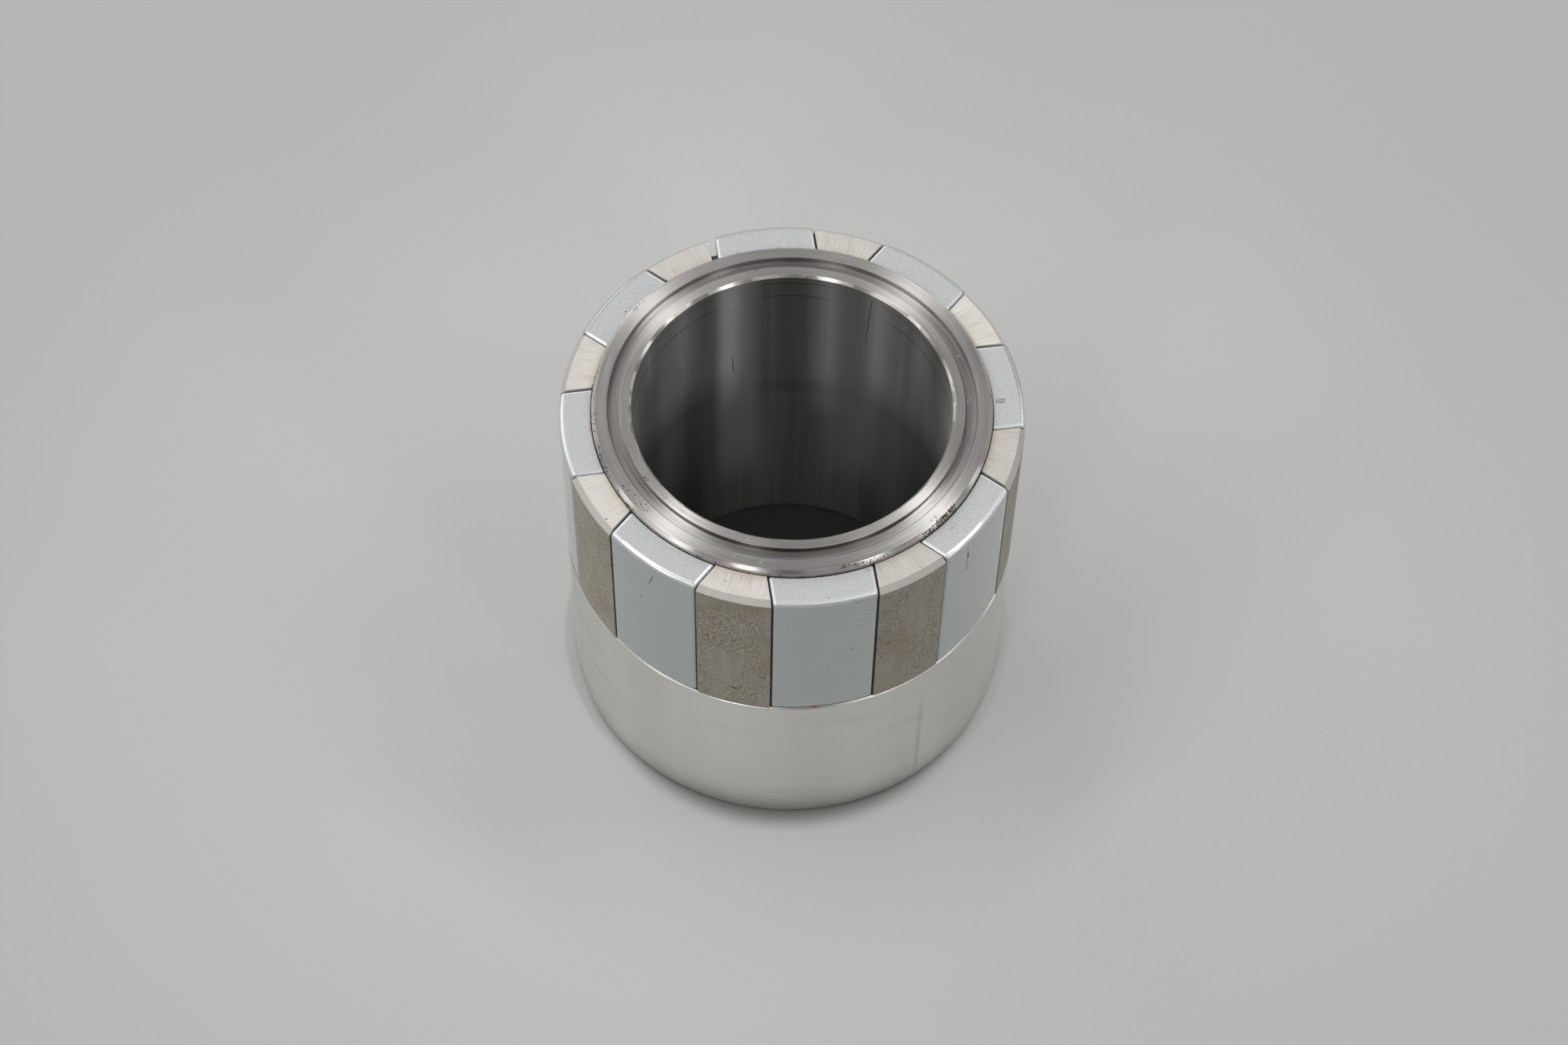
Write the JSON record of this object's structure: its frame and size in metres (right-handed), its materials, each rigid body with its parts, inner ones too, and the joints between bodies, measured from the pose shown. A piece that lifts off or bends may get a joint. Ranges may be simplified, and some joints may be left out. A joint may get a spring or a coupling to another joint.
{
  "type": "magnetic coupling rotor",
  "caption": "Turned steel hub with a plain through bore, and a crown of bonded plated and bare magnet blocks on the shoulder of its thicker collar.",
  "frame": {"origin": "centre of the base, on the surface the rotor stands on", "axes": "+Z along the axis of rotation, from the collar towards the magnets' end"},
  "size_m": [0.0582, 0.0582, 0.0524],
  "materials": {
    "turned_steel": "fine turned steel, satin on the collar, concentric tool lines on the end face",
    "plating": "blue-grey metal plating, semi-gloss, with a fine speckle",
    "sintered_magnet": "bare sintered alloy, gritty on the outside and ground on the ends",
    "adhesive": "cured dark structural adhesive"
  },
  "bodies": {
    "root": {"rotor_hub": "turned_steel", "adhesive_bond": "adhesive", "plated_magnet_1": "plating", "plated_magnet_2": "plating", "plated_magnet_3": "plating", "plated_magnet_4": "plating", "plated_magnet_5": "plating", "plated_magnet_6": "plating", "plated_magnet_7": "plating", "plated_magnet_8": "plating", "bare_magnet_1": "sintered_magnet", "bare_magnet_2": "sintered_magnet", "bare_magnet_3": "sintered_magnet", "bare_magnet_4": "sintered_magnet", "bare_magnet_5": "sintered_magnet", "bare_magnet_6": "sintered_magnet", "bare_magnet_7": "sintered_magnet", "bare_magnet_8": "sintered_magnet"}
  },
  "joints": []
}
